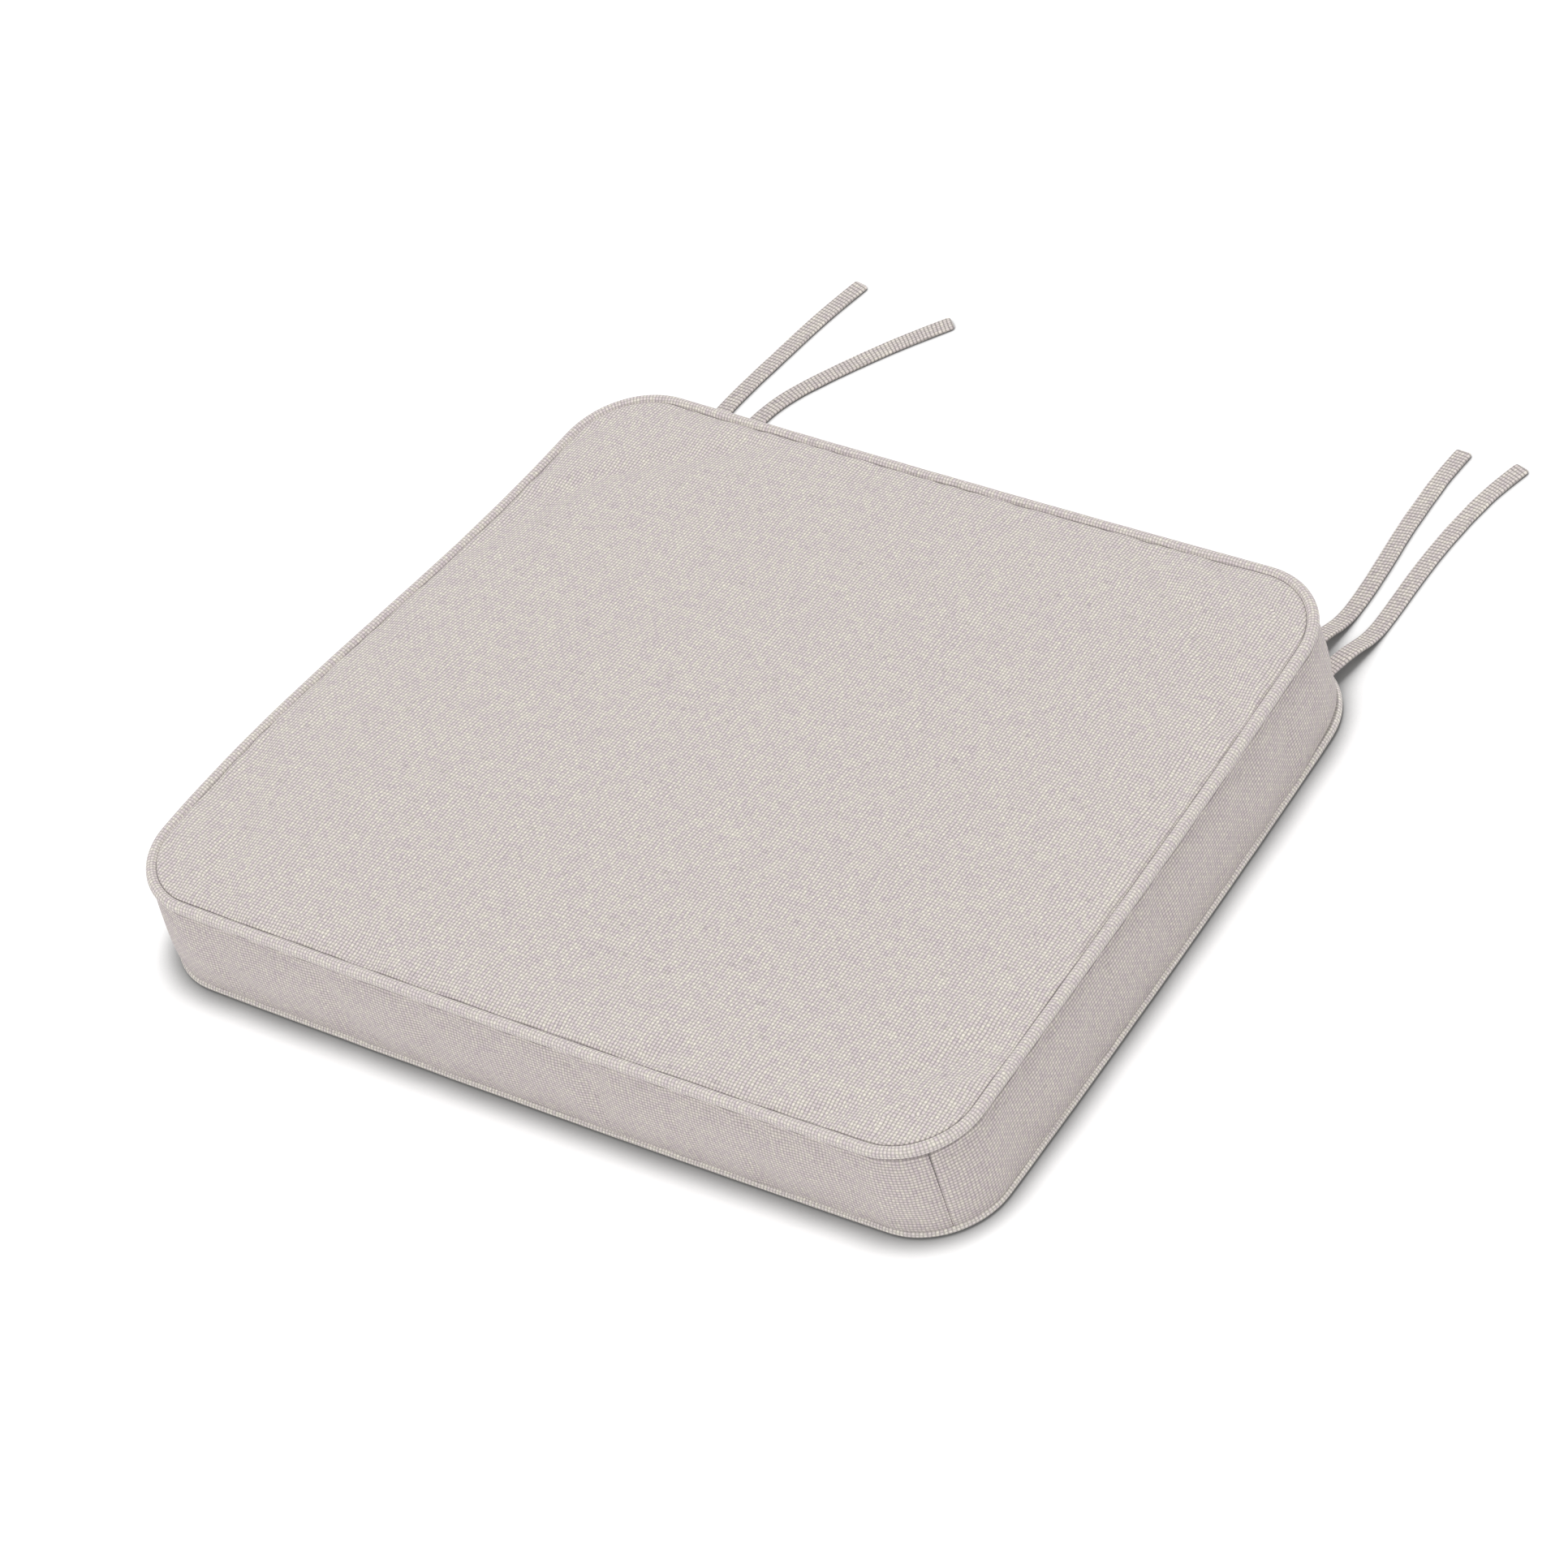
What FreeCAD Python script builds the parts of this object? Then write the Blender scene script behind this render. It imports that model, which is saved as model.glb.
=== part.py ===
import FreeCAD, Part
import math
import os

# Boxed chair seat pad with piped edges, four flat ties and a zip in the back band.
# Millimetres, +Z up. The front of the seat faces -Y, and its sides narrow towards the back.
# The origin is on the underside, at the middle of the pad's width and depth.

V = FreeCAD.Vector
UP = V(0, 0, 1)

# ---- driving dimensions of the pad -------------------------------------------------------------
FRONT_WIDTH = 482.0          # between the points that the front corners round off, over the piping
BACK_WIDTH = 434.0           # between the points that the back corners round off, over the piping
DEPTH = 380.0                # front to back, over the piping
FRONT_RADIUS = 38.0          # plan radius of the front corners, over the piping
BACK_RADIUS = 45.0           # plan radius of the back corners, over the piping

FABRIC = 1.0                 # woven cover cloth
WADDING = 5.0                # fibre layer above and below the foam
FOAM = 45.0                  # foam slab, a 50 mm sheet that the cover holds pressed
PIPING_RADIUS = 3.0          # finished welt
FILLER_RADIUS = 1.95         # round cord inside the welt
PIPING_PROUD = 1.5           # how far the welt stands above the top panel
PIPING_LIFT = 0.1            # the bottom welt is this far above the resting plane
BAND_INSET = PIPING_RADIUS   # the band meets the welt at the middle of its section
PANEL_INSET = 6.05           # the panels end against the inner side of the welt
WADDING_INSET = 6.3
GAP = 0.2                    # air between pieces that the real cloth would close
SEAM_AIR = 0.05              # air between a welt and the band that is sewn to it

THICKNESS = 2 * FABRIC + 2 * WADDING + FOAM + PIPING_PROUD
TOP_PIPING_Z = THICKNESS - PIPING_RADIUS
BOTTOM_PIPING_Z = PIPING_RADIUS + PIPING_LIFT
BAND_BOTTOM = BOTTOM_PIPING_Z + PIPING_RADIUS + SEAM_AIR
BAND_TOP = TOP_PIPING_Z - PIPING_RADIUS - SEAM_AIR

# ---- zip, a number 5 coil zip sewn behind two folded strips -------------------------------------
ZIP_Z = THICKNESS / 2        # height of the line where the two rows of teeth meet
ZIP_HALF = 150.0             # half of the chain's length
ZIP_PLANE = DEPTH / 2 - 4.3  # middle of the teeth, measured along Y
TOOTH_THICKNESS = 1.4
TOOTH_PITCH = 2.5
TOOTH_REACH = 3.2            # from the meeting line to the root of the teeth
TOOTH_ROOT = 2.0             # height above the meeting line where the teeth leave their strip
TOOTH_TIP = 0.9              # width of a tooth at its tip
TOOTH_SLOPE = 0.2            # how much wider it is on each side at its root
FIRST_TOOTH = 0.6            # from the end of the chain; the other row is half a pitch on
SLIT_HALF = 0.6              # half of the slot that the slider's neck runs in
TAPE_THICKNESS = 0.7
TAPE_HEIGHT = 13.0
TAPE_BEYOND = 24.4           # tape past each end of the chain, up to the upright seams
STOP_LENGTH = 2.5
STOP_HALF_HEIGHT = 2.6
STOP_CLEAR = 0.5             # from the chain's end to its stop
PLACKET_EDGE = 5.5           # the folded strips end this far from the meeting line
FOLD = 1.85                  # two layers of cloth
POCKET_SIDE = 26.0           # hollow in the foam past each end of the chain
POCKET_ABOVE = 3.0           # and above and below the tapes
POCKET_DEPTH = 4.0           # and behind the teeth
FOLD_RELIEF = 1.6            # foam kept back from the folded strips

SLIDER_START = 0.6           # from the end of the chain to the closed slider
SLIDER_LENGTH = 9.0
SLIDER_CORNER = 2.0
SLIDER_HALF_HEIGHT = 4.6
WING = 0.9                   # thickness of the slider's two plates
RUNNING_GAP = 0.4            # air between the slider and the chain
RAIL = 0.8
RAIL_INSET = 2.0             # the rails stop this far from the plates' ends
NECK_LENGTH = 2.6
NECK_HALF = 0.25
NECK_SETBACK = 0.6           # from the plates' closed end to the neck
BRIDGE_LENGTH = 6.0
BRIDGE_HEIGHT = 2.2
BRIDGE_WALL = 0.8
BRIDGE_HALF_WIDTH = 1.1
PULL_LENGTH = 24.0
PULL_HALF_WIDTH = 2.6
PULL_THICKNESS = 0.9
PULL_HOLE_HALF = 1.45
PULL_HOLE_LENGTH = 4.2
PULL_CORNER = 2.0
PULL_PLAY = 0.15             # air between the cross bar and the slider's plate
BAR_BITE = 0.5               # how far the cross bar is let into each side of the hole

# ---- ties ---------------------------------------------------------------------------------------
TIE_WIDTH = 9.0
TIE_THICKNESS = 2.0
TIE_ROOT_Z = 7.6             # in the seam between the bottom welt and the back band
TIE_DIP = 0.4                # how much a tie has sunk where it is last held up
TIE_LIFT = 0.05              # a loose tie is this far above the resting plane
TIE_REST_Z = TIE_THICKNESS / 2 + TIE_LIFT
ARC_SHARE = 0.45             # how much of a straight run each of its two arcs takes
ROUTES = {
    "tie_left_outer": [
        (-196, 171, TIE_ROOT_Z), (-197, 183, TIE_ROOT_Z), (-198.5, 196, TIE_ROOT_Z - TIE_DIP),
        (-201, 214, TIE_REST_Z), (-202.3, 236, TIE_REST_Z), (-201, 258, TIE_REST_Z),
        (-198.3, 281, TIE_REST_Z), (-196, 303, TIE_REST_Z), (-193, 323, TIE_REST_Z),
        (-189, 342, TIE_REST_Z)],
    "tie_left_inner": [
        (-180, 175.5, TIE_ROOT_Z), (-180.3, 187.5, TIE_ROOT_Z), (-180.8, 200, TIE_ROOT_Z - TIE_DIP),
        (-181.3, 218, TIE_REST_Z), (-181, 238, TIE_REST_Z), (-176.5, 257, TIE_REST_Z),
        (-165, 278, TIE_REST_Z), (-153, 297, TIE_REST_Z), (-140.5, 315, TIE_REST_Z),
        (-126, 333, TIE_REST_Z)],
    "tie_right_inner": [
        (181, 175.5, TIE_ROOT_Z), (181.3, 187.5, TIE_ROOT_Z), (182, 200, TIE_ROOT_Z - TIE_DIP),
        (182.8, 218, TIE_REST_Z), (182, 238, TIE_REST_Z), (179.5, 260, TIE_REST_Z),
        (176.5, 282, TIE_REST_Z), (175, 304, TIE_REST_Z), (174, 322, TIE_REST_Z),
        (175, 339, TIE_REST_Z)],
    "tie_right_outer": [
        (196.5, 171, TIE_ROOT_Z), (198.5, 183, TIE_ROOT_Z), (200.5, 195.5, TIE_ROOT_Z - TIE_DIP),
        (201.5, 213.5, TIE_REST_Z), (200.8, 234, TIE_REST_Z), (199.3, 256, TIE_REST_Z),
        (199, 279, TIE_REST_Z), (200.3, 301, TIE_REST_Z), (203, 322, TIE_REST_Z),
        (208, 339, TIE_REST_Z)],
}


def save(name, shape):
    """Write one node's solid and print what it measures."""
    box = shape.BoundBox
    print("%-22s solids %d  volume %10.1f  z %.2f..%.2f  valid %s"
          % (name, len(shape.Solids), shape.Volume, box.ZMin, box.ZMax, shape.isValid()))
    shape.exportStep("parts/%s.step" % name)


def corner_data(inset):
    """Centre, radius and tangent points of the four corner arcs, inset from the pad's outline."""
    half_front, half_back, half_depth = FRONT_WIDTH / 2, BACK_WIDTH / 2, DEPTH / 2
    corners = [V(-half_front, -half_depth, 0), V(half_front, -half_depth, 0),
               V(half_back, half_depth, 0), V(-half_back, half_depth, 0)]
    radii = [FRONT_RADIUS, FRONT_RADIUS, BACK_RADIUS, BACK_RADIUS]
    result = []
    for i, corner in enumerate(corners):
        before = (corners[i - 1] - corner).normalize()
        after = (corners[(i + 1) % 4] - corner).normalize()
        half_angle = before.getAngle(after) / 2
        middle = (before + after).normalize()
        centre = corner + middle * (radii[i] / math.sin(half_angle))
        radius = radii[i] - inset
        start = corner + before * (radii[i] / math.tan(half_angle))
        end = corner + after * (radii[i] / math.tan(half_angle))
        start = centre + (start - centre).normalize() * radius
        end = centre + (end - centre).normalize() * radius
        apex = centre - middle * radius
        result.append((start, apex, end))
    return result


def outline(inset, z):
    """Closed wire of the rounded trapezoid, inset from the pad's outline, at height z."""
    lift = V(0, 0, z)
    corners = corner_data(inset)
    edges = []
    for i, (start, apex, end) in enumerate(corners):
        edges.append(Part.Arc(start + lift, apex + lift, end + lift).toShape())
        edges.append(Part.LineSegment(end + lift, corners[(i + 1) % 4][0] + lift).toShape())
    return Part.Wire(edges)


def slab(inset, bottom, top):
    """Solid plate with the pad's outline."""
    return Part.Face(outline(inset, bottom)).extrude(V(0, 0, top - bottom))


def box(x0, x1, y0, y1, z0, z1):
    return Part.makeBox(x1 - x0, y1 - y0, z1 - z0, V(x0, y0, z0))


def wedge(points, bottom, top):
    """Upright prism over a polygon, used to cut the boxing into its strips."""
    corners = [V(x, y, bottom) for x, y in points]
    return Part.Face(Part.makePolygon(corners + corners[:1])).extrude(V(0, 0, top - bottom))


# ---- filling ------------------------------------------------------------------------------------

def make_filling():
    bottom_wadding_top = FABRIC + WADDING
    foam_top = bottom_wadding_top + FOAM
    foam = slab(BAND_INSET + FABRIC + GAP, bottom_wadding_top, foam_top)
    # the foam gives way to the zip and its slider along the back
    half_length = ZIP_HALF + POCKET_SIDE
    half_height = TAPE_HEIGHT + POCKET_ABOVE
    pocket = box(-half_length, half_length, ZIP_PLANE - POCKET_DEPTH, DEPTH / 2,
                 ZIP_Z - half_height, ZIP_Z + half_height)
    relief = box(-BACK_WIDTH / 2, BACK_WIDTH / 2, ZIP_PLANE - FOLD_RELIEF, DEPTH / 2, 0, THICKNESS)
    save("foam_core", foam.cut(pocket).cut(relief))
    save("bottom_wadding", slab(WADDING_INSET, FABRIC, bottom_wadding_top))
    save("top_wadding", slab(WADDING_INSET, foam_top, foam_top + WADDING))


# ---- cover --------------------------------------------------------------------------------------

def make_panels():
    save("bottom_panel", slab(PANEL_INSET, 0, FABRIC))
    top = THICKNESS - PIPING_PROUD
    save("top_panel", slab(PANEL_INSET, top - FABRIC, top))


def pipe(radius, z):
    """Round rod that follows the pad's edge."""
    path = outline(PIPING_RADIUS, z)
    start = corner_data(PIPING_RADIUS)[0][2] + V(0, 0, z)
    section = Part.Wire(Part.makeCircle(radius, start, V(1, 0, 0)))
    path = Part.Wire(path.Edges[1:] + path.Edges[:1])
    return path.makePipeShell([section], True, False)


def make_piping():
    for name, z in (("top", TOP_PIPING_Z), ("bottom", BOTTOM_PIPING_Z)):
        cover = pipe(PIPING_RADIUS, z).cut(pipe(FILLER_RADIUS + SEAM_AIR, z))
        save(name + "_piping_cover", cover)
        save(name + "_piping_filler", pipe(FILLER_RADIUS, z))


def make_bands():
    """The boxing: front, left and right strips, and the two folded strips along the back."""
    wall = slab(BAND_INSET, BAND_BOTTOM, BAND_TOP).cut(
        slab(BAND_INSET + FABRIC, BAND_BOTTOM, BAND_TOP))
    corners = corner_data(0)
    # the front strip meets the side strips in upright seams at the middle of the front corners
    left, right = corners[0][1], corners[1][1]
    back_end = corners[2][2].x
    front_zone = wedge([(left.x - FRONT_RADIUS, left.y - FRONT_RADIUS),
                        (right.x + FRONT_RADIUS, right.y - FRONT_RADIUS),
                        (right.x - FRONT_RADIUS, right.y + FRONT_RADIUS),
                        (left.x + FRONT_RADIUS, left.y + FRONT_RADIUS)], 0, THICKNESS)
    back_zone = box(-back_end, back_end, 0, DEPTH, 0, THICKNESS)
    save("front_band", wall.common(front_zone))
    sides = wall.cut(front_zone).cut(back_zone)
    save("left_band", sides.common(box(-FRONT_WIDTH, 0, -DEPTH, DEPTH, 0, THICKNESS)))
    save("right_band", sides.common(box(0, FRONT_WIDTH, -DEPTH, DEPTH, 0, THICKNESS)))
    outer = DEPTH / 2 - BAND_INSET
    inner = outer - FOLD
    half = back_end - GAP
    save("back_band_upper", box(-half, half, inner, outer, ZIP_Z + PLACKET_EDGE, BAND_TOP))
    save("back_band_lower", box(-half, half, inner, outer, BAND_BOTTOM, ZIP_Z - PLACKET_EDGE))


# ---- zip ----------------------------------------------------------------------------------------

def tooth_row(side, shift):
    """One row of teeth: a root strip with a comb of teeth pointing at the meeting line."""
    depth = ZIP_PLANE - TOOTH_THICKNESS / 2
    points = [(-ZIP_HALF, TOOTH_REACH), (-ZIP_HALF, TOOTH_ROOT)]
    count = int(2 * ZIP_HALF / TOOTH_PITCH) - 1
    for i in range(count):
        x = -ZIP_HALF + shift + i * TOOTH_PITCH
        tip = x + TOOTH_SLOPE
        points += [(x, TOOTH_ROOT), (tip, SLIT_HALF), (tip + TOOTH_TIP, SLIT_HALF),
                   (tip + TOOTH_TIP + TOOTH_SLOPE, TOOTH_ROOT)]
    points += [(ZIP_HALF, TOOTH_ROOT), (ZIP_HALF, TOOTH_REACH)]
    corners = [V(x, depth, ZIP_Z + side * z) for x, z in points]
    return Part.Face(Part.makePolygon(corners + corners[:1])).extrude(V(0, TOOTH_THICKNESS, 0))


def make_zip_chain():
    tape_front = ZIP_PLANE - TOOTH_THICKNESS / 2
    tape_back = tape_front - TAPE_THICKNESS
    reach = ZIP_HALF + TAPE_BEYOND
    second_row = FIRST_TOOTH + TOOTH_PITCH / 2
    for name, side, shift in (("upper", 1, FIRST_TOOTH), ("lower", -1, second_row)):
        edges = sorted((ZIP_Z + side * SLIT_HALF, ZIP_Z + side * TAPE_HEIGHT))
        save("zip_tape_" + name, box(-reach, reach, tape_back, tape_front, edges[0], edges[1]))
        save("zip_teeth_" + name, tooth_row(side, shift))
    # a stop at each end bridges the two rows
    left = -ZIP_HALF - STOP_CLEAR - STOP_LENGTH
    for name, x in (("left", left), ("right", ZIP_HALF + STOP_CLEAR)):
        save("zip_stop_" + name,
             box(x, x + STOP_LENGTH, tape_front, ZIP_PLANE + TOOTH_THICKNESS / 2,
                 ZIP_Z - STOP_HALF_HEIGHT, ZIP_Z + STOP_HALF_HEIGHT))


def rounded(plate, radius, from_x):
    """The plate with the corners that lie beyond from_x rounded in its own plane."""
    edges = [e for e in plate.Edges
             if abs(e.tangentAt(e.FirstParameter).y) > 0.9 and e.BoundBox.XMin > from_x]
    return plate.makeFillet(radius, edges)


def make_slider():
    """Slider at the closed end of the chain, and its pull lying along the chain."""
    left = -ZIP_HALF + SLIDER_START
    right = left + SLIDER_LENGTH
    teeth_front = ZIP_PLANE + TOOTH_THICKNESS / 2
    teeth_back = ZIP_PLANE - TOOTH_THICKNESS / 2
    outside = teeth_front + RUNNING_GAP
    inside = teeth_back - TAPE_THICKNESS - RUNNING_GAP
    low, high = ZIP_Z - SLIDER_HALF_HEIGHT, ZIP_Z + SLIDER_HALF_HEIGHT
    face = outside + WING
    front_plate = rounded(box(left, right, outside, face, low, high), SLIDER_CORNER, left - 1)
    back_plate = rounded(box(left, right, inside - WING, inside, low, high), SLIDER_CORNER, left - 1)
    rail_left, rail_right = left + RAIL_INSET, right - RAIL_INSET
    rail_foot = teeth_back + RUNNING_GAP
    rails = [box(rail_left, rail_right, rail_foot, outside, low, low + RAIL),
             box(rail_left, rail_right, rail_foot, outside, high - RAIL, high)]
    neck_left = left + NECK_SETBACK
    neck = box(neck_left, neck_left + NECK_LENGTH, inside, outside,
               ZIP_Z - NECK_HALF, ZIP_Z + NECK_HALF)
    middle = (left + right) / 2
    bridge_left, bridge_right = middle - BRIDGE_LENGTH / 2, middle + BRIDGE_LENGTH / 2
    bridge = box(bridge_left, bridge_right, face, face + BRIDGE_HEIGHT,
                 ZIP_Z - BRIDGE_HALF_WIDTH, ZIP_Z + BRIDGE_HALF_WIDTH)
    window = box(bridge_left + BRIDGE_WALL, bridge_right - BRIDGE_WALL, face,
                 face + BRIDGE_HEIGHT - BRIDGE_WALL, low, high)
    slider = front_plate.fuse([back_plate, neck, bridge.cut(window)] + rails)
    save("zip_slider", slider.removeSplitter())

    # the pull's eye goes round the bridge, and its cross bar turns inside the window
    bar = PULL_THICKNESS / 2
    pivot_y = face + PULL_PLAY + bar
    bar_half = PULL_HOLE_HALF + BAR_BITE
    cross_bar = Part.makeCylinder(bar, 2 * bar_half, V(middle, pivot_y, ZIP_Z - bar_half), UP)
    end = middle + PULL_LENGTH
    tab = box(middle, end, pivot_y - bar, pivot_y + bar,
              ZIP_Z - PULL_HALF_WIDTH, ZIP_Z + PULL_HALF_WIDTH)
    hole = box(middle - bar, middle + PULL_HOLE_LENGTH, pivot_y - bar, pivot_y + bar,
               ZIP_Z - PULL_HOLE_HALF, ZIP_Z + PULL_HOLE_HALF)
    tab = rounded(tab.cut(hole), PULL_CORNER, end - 1)
    save("zip_pull", tab.fuse(cross_bar).removeSplitter())
    print("pull pivot %.2f %.2f %.2f" % (middle, pivot_y, ZIP_Z))
    print("slider travel %.1f" % (2 * (ZIP_HALF - SLIDER_START) - SLIDER_LENGTH))


# ---- ties ---------------------------------------------------------------------------------------

def tie_path(points):
    """Straight runs joined by tangent arcs, each nearly as large as its two runs allow."""
    nodes = [V(*p) for p in points]
    edges = []
    radii = []
    here = nodes[0]
    for i in range(1, len(nodes) - 1):
        into = (nodes[i] - nodes[i - 1]).normalize()
        out = (nodes[i + 1] - nodes[i]).normalize()
        shorter = min((nodes[i] - nodes[i - 1]).Length, (nodes[i + 1] - nodes[i]).Length)
        half_turn = into.getAngle(out) / 2
        reach = ARC_SHARE * shorter
        radius = reach / math.tan(half_turn)
        start = nodes[i] - into * reach
        end = nodes[i] + out * reach
        bisector = (out - into).normalize()
        middle = nodes[i] + bisector * (radius / math.cos(half_turn) - radius)
        edges.append(Part.LineSegment(here, start).toShape())
        edges.append(Part.Arc(start, middle, end).toShape())
        radii.append(radius)
        here = end
    edges.append(Part.LineSegment(here, nodes[-1]).toShape())
    return Part.Wire(edges), radii


def make_ties():
    body = slab(BAND_INSET, 0, THICKNESS)
    for name, points in ROUTES.items():
        path, radii = tie_path(points)
        start = V(*points[0])
        heading = (V(*points[1]) - start).normalize()
        across = UP.cross(heading).normalize() * (TIE_WIDTH / 2)
        up = UP * (TIE_THICKNESS / 2)
        corners = [start - across - up, start + across - up, start + across + up, start - across + up]
        section = Part.Wire(Part.makePolygon(corners + corners[:1]).Edges)
        sweep = Part.BRepOffsetAPI.MakePipeShell(path)
        sweep.setBiNormalMode(UP)
        sweep.add(section)
        sweep.build()
        sweep.makeSolid()
        strip = sweep.shape()
        expected = TIE_WIDTH * TIE_THICKNESS * path.Length
        print("%s radii %s volume ratio %.3f route %.1f"
              % (name, [round(r) for r in radii], strip.Volume / expected, path.Length))
        tie = strip.cut(body)
        print("  free length %.1f" % (tie.Volume / (TIE_WIDTH * TIE_THICKNESS)))
        save(name, tie)


os.makedirs("parts", exist_ok=True)
make_filling()
make_panels()
make_piping()
make_bands()
make_zip_chain()
make_slider()
make_ties()
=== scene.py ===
import math

import bpy
import numpy as np
from mathutils import Matrix, Vector, noise


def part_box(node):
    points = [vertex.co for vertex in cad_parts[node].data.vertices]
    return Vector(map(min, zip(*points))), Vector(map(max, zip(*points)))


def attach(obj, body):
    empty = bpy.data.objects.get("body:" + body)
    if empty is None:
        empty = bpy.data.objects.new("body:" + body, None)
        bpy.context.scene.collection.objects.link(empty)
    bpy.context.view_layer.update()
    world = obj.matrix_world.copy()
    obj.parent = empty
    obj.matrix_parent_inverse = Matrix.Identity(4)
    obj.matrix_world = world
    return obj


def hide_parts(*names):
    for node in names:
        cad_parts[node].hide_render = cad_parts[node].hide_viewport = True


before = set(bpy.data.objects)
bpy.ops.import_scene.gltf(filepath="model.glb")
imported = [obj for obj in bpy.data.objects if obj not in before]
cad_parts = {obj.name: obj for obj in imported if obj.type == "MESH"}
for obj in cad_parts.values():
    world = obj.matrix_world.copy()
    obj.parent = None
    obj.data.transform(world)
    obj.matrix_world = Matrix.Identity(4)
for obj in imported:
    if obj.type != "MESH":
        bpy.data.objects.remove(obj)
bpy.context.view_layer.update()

# Boxed chair seat pad: a woven cover with piped edges round a foam core, four flat ties and a
# zip in the back band. The shapes are worked out in millimetres and made in metres.
# The pad's front faces -Y. Its outline is a rounded trapezoid, walked anticlockwise as seen from
# above, from the middle of the front left corner.

MM = 0.001
FRONT_WIDTH, BACK_WIDTH = 482.0, 434.0
FRONT_RADIUS, BACK_RADIUS = 38.0, 45.0
# columns of points round the edge: in half of a corner, along the front and along a side
ARC_STEPS, FRONT_STEPS, SIDE_STEPS = 8, 80, 60
ACROSS = FRONT_STEPS + 2 * ARC_STEPS
ALONG = SIDE_STEPS + 2 * ARC_STEPS
ROUND = 2 * (ACROSS + ALONG)


def box_mm(node):
    low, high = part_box(node)
    return np.array(low) / MM, np.array(high) / MM


PIPE_LOW, PIPE_HIGH = box_mm("top_piping_cover")
DEPTH = PIPE_HIGH[1] - PIPE_LOW[1]
THICKNESS = PIPE_HIGH[2]
PIPE = (PIPE_HIGH[2] - PIPE_LOW[2]) / 2
TOP_PIPE_Z = THICKNESS - PIPE
BOTTOM_PIPE_Z = box_mm("bottom_piping_cover")[0][2] + PIPE
SEAM_INSET, SEAM_RISE = 5.7, 1.15      # where the top panel meets its piping
SEAM_Z = TOP_PIPE_Z + SEAM_RISE
SEWN_INSET = 3.0                       # line along which the bands' cloth is measured

# how the sewn pad leaves its pattern
HALF_WIDTH, HALF_DEPTH = 240.0, 190.0
SIDE_BOW, LEFT_WAVE = 2.7, 4.3
FRONT_SWELL, BACK_DRAWN_IN, BACK_LIFT = 2.0, 1.5, 2.0
END_SHARE = 0.55                       # the front and back shapes begin this far from the middle


# ---- plan shape -----------------------------------------------------------------------------------

def unit(v):
    return v / np.linalg.norm(v)


def direction(angle):
    return np.array([math.cos(angle), math.sin(angle)])


def outline():
    """Points on the pad's outline, one column each, and their outward normals."""
    corners = np.array([(-FRONT_WIDTH, -DEPTH), (FRONT_WIDTH, -DEPTH),
                        (BACK_WIDTH, DEPTH), (-BACK_WIDTH, DEPTH)]) / 2
    radii = (FRONT_RADIUS, FRONT_RADIUS, BACK_RADIUS, BACK_RADIUS)
    arcs = []
    for i in range(4):
        before = unit(corners[i - 1] - corners[i])
        after = unit(corners[(i + 1) % 4] - corners[i])
        half = math.acos(before @ after) / 2
        inward = unit(before + after)
        centre = corners[i] + inward * radii[i] / math.sin(half)
        arcs.append((centre, radii[i], math.atan2(-inward[1], -inward[0]), math.pi / 2 - half))
    points, normals = [], []
    for i, steps in enumerate((FRONT_STEPS, SIDE_STEPS, FRONT_STEPS, SIDE_STEPS)):
        centre, radius, apex, turn = arcs[i]
        next_centre, next_radius, next_apex, next_turn = arcs[(i + 1) % 4]
        side = direction(apex + turn)
        start, end = centre + side * radius, next_centre + side * next_radius
        for k in range(ARC_STEPS):
            normals.append(direction(apex + turn * k / ARC_STEPS))
            points.append(centre + normals[-1] * radius)
        for k in range(steps):
            normals.append(side)
            points.append(start + (end - start) * k / steps)
        for k in range(ARC_STEPS):
            normals.append(direction(next_apex - next_turn * (1 - k / ARC_STEPS)))
            points.append(next_centre + normals[-1] * next_radius)
    return np.array(points), np.array(normals)


RIM, NORMAL = outline()
CLOSED = np.arange(ROUND + 1) % ROUND
STEP = np.linalg.norm(np.diff((RIM - SEWN_INSET * NORMAL)[CLOSED], axis=0), axis=1)
WALK = np.concatenate([[0.0], np.cumsum(STEP)])     # distance round the pad to each column


def ring(inset):
    return RIM - NORMAL * inset


def smooth(x, low, high):
    t = np.clip((x - low) / (high - low), 0, 1)
    return t * t * (3 - 2 * t)


def settle(points):
    """The small ways in which the sewn pad leaves its pattern: bowed sides, a wavy left side, a
    front that swells, a back that is drawn in and a back edge that stands a little higher."""
    p = np.array(points, float)
    x, y = p[..., 0].copy() / HALF_WIDTH, p[..., 1].copy() / HALF_DEPTH
    z = p[..., 2] / THICKNESS
    side_wave = np.where(x < 0, np.abs(x), 0) * np.sin(math.pi * y) * (np.abs(y) < 1)
    p[..., 0] += SIDE_BOW * x * (1 - y * y) + LEFT_WAVE * side_wave
    p[..., 1] -= FRONT_SWELL * (1 - x * x) * smooth(-y, END_SHARE, 1)
    p[..., 1] -= BACK_DRAWN_IN * (1 - (x * 1.1) ** 2) * smooth(y, END_SHARE, 1)
    p[..., 2] += BACK_LIFT * y ** 3 * np.clip(z, 0, 1)
    return p


def rough(points, size):
    """Smooth noise from -1 to 1 at each point, with features about that many mm across."""
    return np.array([noise.noise(Vector(p / size)) for p in np.asarray(points, float)])


GRID_ROUNDS = 300                      # how often the grid inside a panel is evened out


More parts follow.
